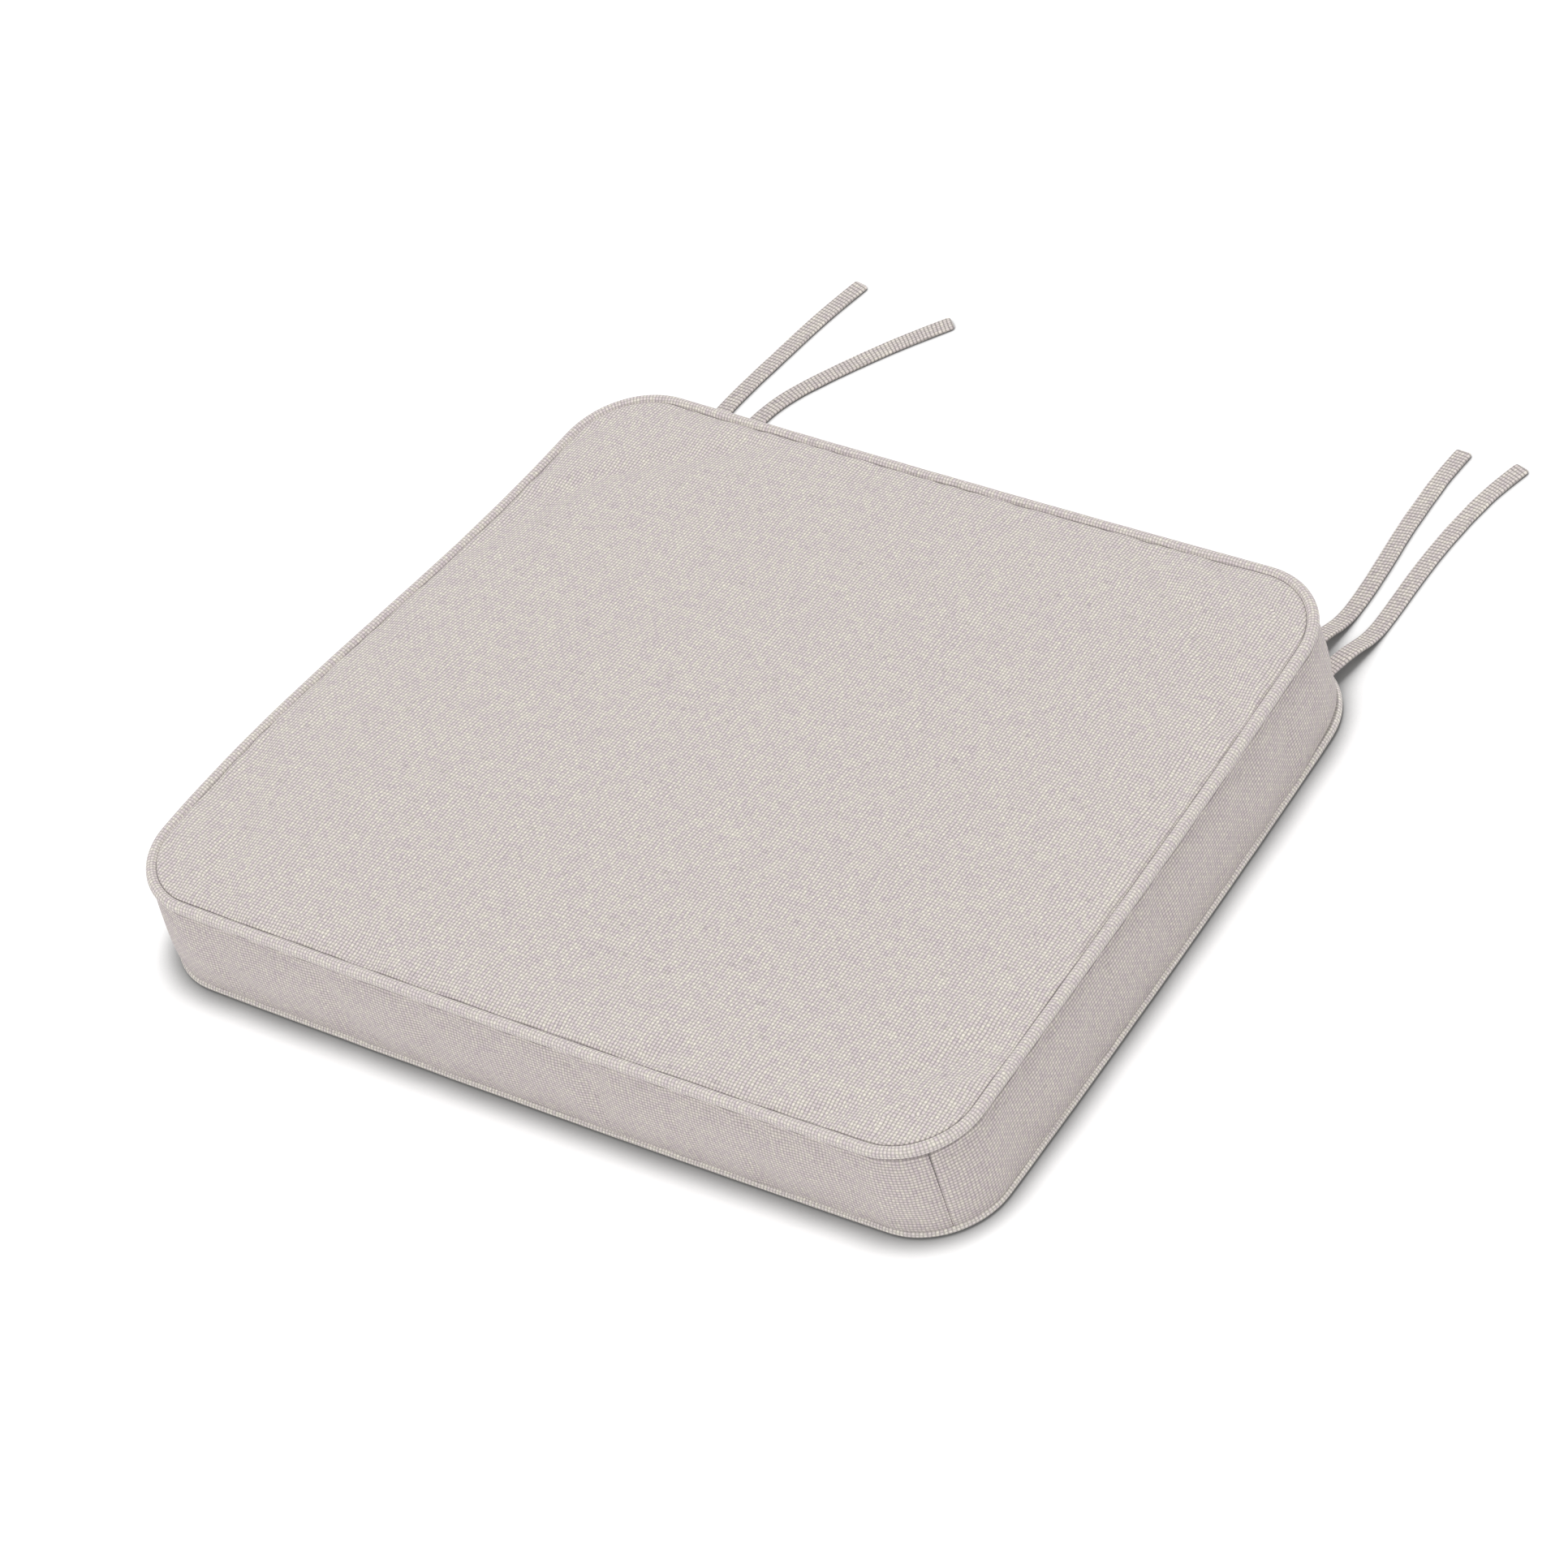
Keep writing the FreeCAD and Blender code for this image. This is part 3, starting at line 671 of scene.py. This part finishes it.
# top panel, tucked under its piping all round: rows of points, each with its inset and its drop
TUCKS = ((5.2, 0.9), (4.4, 2.4))
tucked = [settle(np.column_stack([ring(i), np.full(ROUND, SEAM_Z - drop)])) for i, drop in TUCKS]
tuck_faces = []
for inner, outer in ((0, top_count), (top_count, top_count + ROUND)):
    for a in range(ROUND):
        b = (a + 1) % ROUND
        tuck_faces.append((outer + a, outer + b, inner + b, inner + a))
half_width = (FRONT_WIDTH - (FRONT_WIDTH - BACK_WIDTH) * (plan[:, 1] / DEPTH + 0.5)) / 2
middle_width = (FRONT_WIDTH + BACK_WIDTH) / 4
plan_cloth = np.column_stack([plan[:, 0] * middle_width / half_width, plan[:, 1]])
tuck_cloth = np.vstack([plan_cloth[:ROUND] + NORMAL * drop for _, drop in TUCKS])
# the seam distances give painted shade at the panel's edge and on its tucked rows, where it creases
# under the piping
top_cloth = make_piece("top_panel_cloth", np.vstack([top_shape] + tucked), top_faces + tuck_faces,
                       np.vstack([plan_cloth, tuck_cloth]),
                       np.concatenate([away - SEAM_INSET, np.zeros(2 * ROUND)]),
                       [panel_cloth], stands_for=["top_panel"])

# bottom panel, flat where it rests
BOTTOM_INSETS = (4.4, 5.2, 6.2, 8.0, 12.0, 21.0)
BOTTOM_LIFT, BOTTOM_CURL, CURL_RUN = 0.35, 2.4, 0.7
bottom_plan, bottom_faces, bottom_away = patch(BOTTOM_INSETS)
lift = BOTTOM_LIFT + BOTTOM_CURL * np.exp(-np.clip(bottom_away - BOTTOM_INSETS[0], 0, None) / CURL_RUN)
bottom = settle(np.column_stack([bottom_plan, lift]))
# painted shade along its edge, where it meets the bottom piping
bottom_cloth = make_piece("bottom_panel_cloth", bottom, [tuple(reversed(f)) for f in bottom_faces],
                          bottom_plan, bottom_away - BOTTOM_INSETS[1], [panel_cloth],
                          stands_for=["bottom_panel"])


# how a band's end turns into its seam: the share of the way to the next column, and the depth
BAND_END = ((0.0, 2.2), (0.0, 0.35), (0.08, 0.12), (0.35, 0.02))
TOP_LINE, BOTTOM_LINE = 1.0, 0.35      # its painted seam shade lines lie this far below its top and bottom edges


def make_band(name, first, last, stands_for, fades):
    """A side strip from one column to another, its two ends folded into the seams there. fades says
    how the painted shade of each end's seam line weakens towards the bottom and how faint it is at the
    top."""
    columns = np.arange(first, last + 1) % ROUND
    grid = band_shape[:, columns]
    walk = WALK[-1] * (np.arange(first, last + 1) // ROUND) + WALK[columns]
    outward = np.column_stack([NORMAL[columns], np.zeros(len(columns))])
    count = len(columns)
    plan_rows = [(0, 1, f, dip) for f, dip in BAND_END]
    plan_rows += [(i, i, 0.0, 0.0) for i in range(1, count - 1)]
    plan_rows += [(count - 1, count - 2, f, dip) for f, dip in reversed(BAND_END)]
    points, cloth, seam = [], [], []
    for k in range(BAND_ROWS):
        for a, b, f, dip in plan_rows:
            p = grid[k, a] * (1 - f) + grid[k, b] * f - outward[a] * dip
            along = walk[a] * (1 - f) + walk[b] * f
            down = BAND_STEPS[k] * BAND_HEIGHT
            # the seam distance sets painted shade at the upright seams at the ends, under the top
            # piping and over the bottom piping
            ends = min(along - walk[0] + fades[0] * BAND_STEPS[k] + fades[1],
                       walk[-1] - along + fades[2] * BAND_STEPS[k] + fades[3])
            points.append(p)
            cloth.append((along, -down))
            seam.append(max(min(ends, down - TOP_LINE, BAND_HEIGHT - down + BOTTOM_LINE), 0.0))
    faces = [tuple(reversed(f)) for f in grid_faces(BAND_ROWS, len(plan_rows))]
    return make_piece(name, np.array(points), faces, np.array(cloth), np.array(seam), [band_cloth_painted_shade],
                      stands_for=stands_for)


make_band("front_band_cloth", 0, ACROSS, ["front_band"], (0.5, 0.45, 0.8, 0.0))
make_band("right_band_cloth", ACROSS, ACROSS + ALONG + ARC_STEPS, ["right_band"], (0.8, 0.0, 0, 0))
make_band("left_band_cloth", 2 * ACROSS + ALONG - ARC_STEPS, ROUND, ["left_band"], (0, 0, 0.5, 0.45))

# piping: a cloth tube over a twisted cord, joined at the middle of the back
JOIN = ACROSS + ALONG + ACROSS // 2
TURN = (JOIN + np.arange(ROUND + 1)) % ROUND
ROD_SIDES = 24
THICKER, THICKER_RUN = 0.035, 14       # how the piping's thickness changes along it
SAG, SAG_RUN = 0.12, 30                # and its height
LOBE = 0.12                            # how far a cord's strands stand out


def rod(inset, z, radii, turns=0.0, lobes=0):
    """Rings of points round the pad's edge; radii is the width across and up."""
    press = pressed * (z < THICKNESS / 2)
    centre = np.column_stack([ring(inset), z - PRESSED_DOWN * press])[TURN]
    flat = (PRESSED_FLAT * press * radii[1] / PIPE)[TURN]
    outward = np.column_stack([NORMAL, np.zeros(ROUND)])[TURN]
    walk = np.concatenate([[0], np.cumsum(np.linalg.norm(np.diff(centre, axis=0), axis=1))])
    angle = np.arange(ROD_SIDES + 1) * 2 * math.pi / ROD_SIDES - math.pi / 2
    points, cloth = [], []
    for i in range(ROUND + 1):
        size = 1 + THICKER * noise.noise(Vector((walk[i] / THICKER_RUN, z, 0.5)))
        sag = SAG * noise.noise(Vector((walk[i] / SAG_RUN, z, 7.5)))
        for a in angle:
            r = size * (1 + (LOBE * math.cos(lobes * (a - turns * walk[i])) if lobes else 0))
            points.append(centre[i] + outward[i] * radii[0] * r * math.cos(a)
                          + np.array([0, 0, (radii[1] - flat[i]) * r * math.sin(a) + sag * 0.5]))
            cloth.append((walk[i], a * PIPE))
    return settle(np.array(points)), np.array(cloth)


def make_piping(where, z, seams, material):
    """seams are the angles round the tube at which the cloth beside it is sewn on; the tube's cloth
    gets painted shade along them.
    """
    points, cloth = rod(PIPE, z, (PIPE, PIPE * 0.97))
    turned = [cloth[:, 1] / PIPE - seam for seam in seams]
    near = np.min([np.abs((t + math.pi) % (2 * math.pi) - math.pi) for t in turned], axis=0) * PIPE
    make_piece(where + "_piping_cloth", points, grid_faces(ROUND + 1, ROD_SIDES + 1), cloth, near,
               [material], stands_for=[where + "_piping_cover"])


make_piping("top", TOP_PIPE_Z, (math.radians(166), math.radians(-64)), piping_cloth)
make_piping("bottom", BOTTOM_PIPE_Z, (math.radians(70), math.radians(215)), low_piping_cloth_painted_light)


# ---- back band: two folded strips with the zip between them ---------------------------------------

ZIP_MIDDLE = (box_mm("back_band_lower")[1][2] + box_mm("back_band_upper")[0][2]) / 2
FOLD_EDGE = box_mm("back_band_upper")[0][2] - ZIP_MIDDLE
STRIP_INNER, STRIP_OUTER = box_mm("back_band_upper")[0][1], box_mm("back_band_upper")[1][1]
STITCH_INSET, STITCH_DIP = 3.4, -0.3   # from the fold, and how far the row sinks in
STITCH_LINE = FOLD_EDGE + STITCH_INSET
STITCH_SHADE = 0.45                    # the row's painted shade, where the cloth sinks in, is as dark as a seam's this far off
STRIP_WAVE, WAVE_RUN = 0.25, 22
STRIP_ENDS = (1.2, 0.25)               # how deep a strip's last two columns sit in the seam
FOLD_BACK = 7                          # how far behind the zip the folded cloth reaches
STRIP_WEAVE = 400                      # the strips are other stretches of the same cloth
BACK_COLUMNS = np.arange(ACROSS + ALONG + ARC_STEPS, 2 * ACROSS + ALONG - ARC_STEPS + 1)


def strip_wave(x, side):
    """How far a strip leans out at its middle height, x mm along it."""
    return STRIP_WAVE * noise.noise(Vector((x / WAVE_RUN, side * 3.0, 1.5)))


def make_strip(name, side, seam_row, stands_for):
    """One folded strip. Its fold lies straight along the zip and its other edge is sewn in with
    the piping."""
    sewn = band_shape[seam_row, BACK_COLUMNS]
    layer = (STRIP_OUTER - STRIP_INNER) / 2
    middle = (STRIP_OUTER + STRIP_INNER) / 2
    height = abs(sewn[len(sewn) // 2, 2] - ZIP_MIDDLE - side * FOLD_EDGE)
    stitched = 1 - STITCH_INSET / height
    steps = [(0.0, 0.0), (0.08, 0.25), (0.2, 0.55), (0.36, 0.75), (0.52, 0.65),
             (stitched - 0.11, 0.35), (stitched - 0.045, 0.05), (stitched, STITCH_DIP),
             (stitched + 0.045, 0.05), (stitched + 0.09, 0.22), (0.965, 0.15), (1.0, 0.0)]
    points, cloth, seam = [], [], []
    for i, edge in enumerate(sewn):
        ends = min(i, len(sewn) - 1 - i)
        dip = STRIP_ENDS[ends] if ends < len(STRIP_ENDS) else 0.0
        wave = strip_wave(edge[0], side)
        fold_z = ZIP_MIDDLE + side * FOLD_EDGE
        fan = []
        for t, puff in steps:
            y = edge[1] * (1 - t) + STRIP_OUTER * t + puff + wave * math.sin(math.pi * t) - dip
            fan.append((y, edge[2] * (1 - t) + (fold_z + side * layer) * t))
        for turn in (35, 70, 110, 145):
            a = math.radians(turn)
            fan.append((middle + layer * math.cos(a) - dip, fold_z + side * layer * (1 - math.sin(a))))
        fan.append((STRIP_INNER - dip, fold_z + side * layer))
        fan.append((STRIP_INNER - dip, fold_z + side * FOLD_BACK))
        down = 0.0
        for k, (y, z) in enumerate(fan):
            if k:
                down += math.hypot(y - fan[k - 1][0], z - fan[k - 1][1])
            points.append((edge[0], y, z))
            cloth.append((WALK[BACK_COLUMNS[i]], -side * down + STRIP_WEAVE))
            # painted shade along the stitch row and where the strip's ends go into the seams
            seam.append(min(abs(z - ZIP_MIDDLE - side * STITCH_LINE) + STITCH_SHADE, ends * 3.0))
    count = len(points) // len(sewn)
    faces = grid_faces(len(sewn), count)
    if side < 0:
        faces = [tuple(reversed(f)) for f in faces]
    make_piece(name, np.array(points), faces, np.array(cloth), np.array(seam), [band_cloth_painted_shade],
               stands_for=stands_for)


make_strip("back_band_upper_cloth", 1, 0, ["back_band_upper"])
make_strip("back_band_lower_cloth", -1, BAND_ROWS - 1, ["back_band_lower"])


SMALL_SIDES = 6                        # of stitches and of the zip's wire


def capsule(start, end, radius):
    """A short rounded bar that lies in the plane of X and Z, as points and faces."""
    start, end = np.array(start, float), np.array(end, float)
    along, across = unit(end - start), np.array((0.0, 1.0, 0.0))
    third = np.cross(along, across)
    rings = [(start - along * radius * 0.7, 0.5), (start, 0.95), ((start + end) / 2, 1.05),
             (end, 0.95), (end + along * radius * 0.7, 0.5)]
    points = []
    for centre, size in rings:
        for k in range(SMALL_SIDES):
            a = 2 * math.pi * k / SMALL_SIDES
            points.append(centre + radius * size * (across * math.cos(a) + third * math.sin(a)))
    faces = grid_faces(len(rings), SMALL_SIDES, wrap=True)
    last = (len(rings) - 1) * SMALL_SIDES
    faces += [tuple(range(SMALL_SIDES))[::-1], tuple(range(last, last + SMALL_SIDES))]
    return points, faces


def gathered(parts):
    """Many small shapes as one list of points and one of faces."""
    points, faces = [], []
    for part_points, part_faces in parts:
        faces += [tuple(i + len(points) for i in f) for f in part_faces]
        points += list(part_points)
    return np.array(points), faces


def substance(name, colour, roughness, scale, depth, spread, detail=3.0, metallic=0.0):
    """A plain substance with a fine uneven surface and small changes of shade."""
    material, tree, surface = shader(name)
    grain = cloud(tree, object_place(tree), scale, detail, 0.65)
    tint = shaded(tree, colour, (grain - 0.5) * spread + 1.0)
    tree.links.new(tint.socket, surface.inputs["Base Color"])
    plug(tree, grain.ramp(0.3, 0.7, roughness - 0.06, roughness + 0.06), surface.inputs["Roughness"])
    bumped(tree, surface, grain, depth * MM)
    surface.inputs["Metallic"].default_value = metallic
    return material


PORES, PORE_DEPTH = 900, 0.4           # cells in a metre of foam; mm
ZIGZAG, RIB_PITCH, RIB_DEPTH = 1.6, 0.55, 0.15


def foam_material():
    """Open-cell foam: fine pores."""
    material, tree, surface = shader("foam_cells")
    cells = tree.nodes.new("ShaderNodeTexVoronoi")
    cells.inputs["Scale"].default_value = PORES
    plug(tree, object_place(tree), cells.inputs["Vector"])
    pore = Wire(tree, cells.outputs["Distance"])
    tint = shaded(tree, linear(238, 229, 196), pore.ramp(0.1, 0.6, 1.04, 0.82))
    tree.links.new(tint.socket, surface.inputs["Base Color"])
    surface.inputs["Roughness"].default_value = 0.9
    bumped(tree, surface, pore, PORE_DEPTH * MM)
    return material


def tape_material():
    """Zip tape: a fine herringbone."""
    material, tree, surface = shader("zip_tape_herringbone")
    x, _, z = parts_of(tree, object_place(tree))
    zigzag = (z / MM / ZIGZAG).math("PINGPONG", 1.0) * ZIGZAG
    rib = ((x / MM + zigzag) * (2 * math.pi / RIB_PITCH)).math("SINE") * 0.5 + 0.5
    tint = shaded(tree, linear(196, 188, 184), rib.ramp(0.0, 1.0, 0.78, 1.05))
    tree.links.new(tint.socket, surface.inputs["Base Color"])
    surface.inputs["Roughness"].default_value = 0.8
    bumped(tree, surface, rib, RIB_DEPTH * MM)
    return material


thread = substance("stitch_thread", linear(212, 203, 198), 0.7, 2200, 0.1, 0.3)
nylon = substance("zip_nylon_coil", linear(203, 196, 190), 0.38, 900, 0.03, 0.12)
metal = substance("zip_metal_satin", linear(190, 187, 182), 0.3, 1400, 0.02, 0.10, metallic=1.0)
wadding_fibre = substance("polyester_fibre", linear(243, 243, 240), 0.9, 260, 1.2, 0.12, 6.0)
cord_cotton = substance("cotton_cord", linear(236, 231, 218), 0.85, 1200, 0.3, 0.2)

# topstitching that holds each strip to its zip tape
STITCH, STITCH_GAP, THREAD_RADIUS = 2.5, 0.8, 0.3
STITCH_END = 6                         # the rows stop this far from the upright seams
STITCH_PROUD, STITCH_SLANT = 0.1, 0.12
for name, side in (("upper", 1), ("lower", -1)):
    low_corner, high_corner = box_mm("back_band_" + name)
    parts, x = [], low_corner[0] + STITCH_END
    while x + STITCH < high_corner[0] - STITCH_END:
        y = STRIP_OUTER + STITCH_DIP + STITCH_PROUD + 0.5 * strip_wave(x, side)
        z = ZIP_MIDDLE + side * STITCH_LINE
        slant = STITCH_SLANT * noise.noise(Vector((x * 1.7, side, 0.3)))
        parts.append(capsule((x, y, z - slant), (x + STITCH, y, z + slant), THREAD_RADIUS))
        x += STITCH + STITCH_GAP
    points, faces = gathered(parts)
    make_piece("placket_stitches_" + name, points, faces, materials=[thread], levels=1)

# zip: coil teeth, one bent loop each, in two rows that nearly meet. A loop's points are given by
# their place along the zip, in half loops, and their distances in mm from its middle and outwards.
TOOTH_PITCH, LOOP_HALF, WIRE = 2.5, 0.48, 0.34
LAST_LOOP = 1.0                        # no loop starts nearer to the end of the row
LOOP = ((-1, 3.1, 0.25), (-1, 2.2, 0.0), (-0.95, 1.1, -0.1), (-0.5, 0.72, 0.0), (0.3, 0.72, 0.15),
        (0.95, 1.1, 0.25), (1, 2.2, 0.2), (1, 3.1, -0.1))
for name, side, shift in (("upper", 1, 1.25), ("lower", -1, 2.5)):
    low_corner, high_corner = box_mm("zip_teeth_" + name)
    plane = (low_corner[1] + high_corner[1]) / 2
    parts, x = [], low_corner[0] + shift
    while x < high_corner[0] - LAST_LOOP:
        path = [np.array((x + a * LOOP_HALF, plane + y, ZIP_MIDDLE + side * z)) for a, z, y in LOOP]
        points = []
        for i, place in enumerate(path):
            run = unit(path[min(i + 1, len(path) - 1)] - path[max(i - 1, 0)])
            first = unit(np.cross(run, (0, 1, 0)))
            second = np.cross(run, first)
            for k in range(SMALL_SIDES):
                a = 2 * math.pi * k / SMALL_SIDES
                points.append(place + WIRE * (first * math.cos(a) + second * math.sin(a)))
        faces = grid_faces(len(path), SMALL_SIDES, wrap=True)
        last = (len(path) - 1) * SMALL_SIDES
        faces += [tuple(range(SMALL_SIDES)), tuple(range(last, last + SMALL_SIDES))[::-1]]
        parts.append((points, faces))
        x += TOOTH_PITCH
    points, faces = gathered(parts)
    make_piece("zip_coil_" + name, points, faces, materials=[nylon], levels=0,
               stands_for=["zip_teeth_" + name])


BEVEL_FROM = 40                        # degrees: sharper edges than this are softened


def finish_node(node, material, edge):
    """A better material and softer edges for a CAD node that has the right shape."""
    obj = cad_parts[node]
    if not obj.data.materials:
        obj.data.materials.append(material)
    for slot in obj.material_slots:
        slot.link = "OBJECT"
        slot.material = material
    bevel = obj.modifiers.new("Edges", "BEVEL")
    bevel.width, bevel.segments, bevel.limit_method = edge * MM, 2, "ANGLE"
    bevel.angle_limit = math.radians(BEVEL_FROM)


for node in ("zip_slider", "zip_pull", "zip_stop_left", "zip_stop_right"):
    finish_node(node, metal, 0.15)
zip_tape = tape_material()
for node in ("zip_tape_upper", "zip_tape_lower"):
    finish_node(node, zip_tape, 0.1)


# ---- filling --------------------------------------------------------------------------------------

RECESS_START, RECESS_END = 30, 12      # the foam's recess deepens between these, from the back
RECESS_FULL, RECESS_NONE = 168, 190    # edge, and ends between these, from the middle
LUMP = 24                              # how broad a lump of fibre is


def make_block(name, node, inset, bottom_z, top_z, edge, material, lumps=0.0, recess=0.0):
    """A soft slab with rounded edges; recess draws its back in behind the zip."""
    insets = (inset + edge, inset + edge + 4, inset + edge + 12)
    cap, faces, _ = patch(insets)
    count = len(cap)
    rows = [(inset + edge * 0.35, -edge * 0.3), (inset, -edge)]
    points = [np.column_stack([cap, np.full(count, top_z)])]
    for ring_inset, dz in rows:
        points.append(np.column_stack([ring(ring_inset), np.full(ROUND, top_z + dz)]))
    for ring_inset, dz in reversed(rows):
        points.append(np.column_stack([ring(ring_inset), np.full(ROUND, bottom_z - dz)]))
    points.append(np.column_stack([cap, np.full(count, bottom_z)]))
    faces = list(faces)
    firsts = [0] + [count + k * ROUND for k in range(4)] + [count + 4 * ROUND]
    for upper, lower in zip(firsts, firsts[1:]):
        for j in range(ROUND):
            a, b = j, (j + 1) % ROUND
            faces.append((lower + a, lower + b, upper + b, upper + a))
    faces += [tuple(reversed([i + firsts[-1] for i in f])) for f in patch(insets)[1]]
    points = np.vstack(points)
    if recess:
        behind = smooth(points[:, 1], DEPTH / 2 - RECESS_START, DEPTH / 2 - RECESS_END)
        points[:, 1] -= recess * behind * smooth(-np.abs(points[:, 0]), -RECESS_NONE, -RECESS_FULL)
    points = settle(points)
    if lumps:
        points[:, 2] += lumps * rough(points, LUMP)
    block = make_piece(name, points, faces, materials=[material], levels=0,
                       stands_for=[node])


FOAM_BOTTOM, FOAM_TOP = box_mm("foam_core")[0][2], box_mm("foam_core")[1][2]
make_block("foam_block", "foam_core", inset=5.6, bottom_z=FOAM_BOTTOM + 0.4, top_z=FOAM_TOP - 0.6,
           edge=2.5, material=foam_material(), recess=3.4)
make_block("top_wadding_layer", "top_wadding", inset=7.6, bottom_z=FOAM_TOP - 0.3,
           top_z=FOAM_TOP + 4.2, edge=1.6, material=wadding_fibre,
           lumps=0.25)
make_block("bottom_wadding_layer", "bottom_wadding", inset=7.6, bottom_z=1.3,
           top_z=FOAM_BOTTOM + 0.1, edge=1.6, material=wadding_fibre,
           lumps=0.15)
CORD_RADIUS, CORD_TWIST, CORD_STRANDS = 1.75, 14, 3
for where, z in (("top", TOP_PIPE_Z), ("bottom", BOTTOM_PIPE_Z)):
    points, _ = rod(PIPE, z, (CORD_RADIUS, CORD_RADIUS), 2 * math.pi / CORD_TWIST, CORD_STRANDS)
    make_piece(where + "_filler_cord", points, grid_faces(ROUND + 1, ROD_SIDES + 1),
               materials=[cord_cotton], levels=0,
               stands_for=[where + "_piping_filler"])
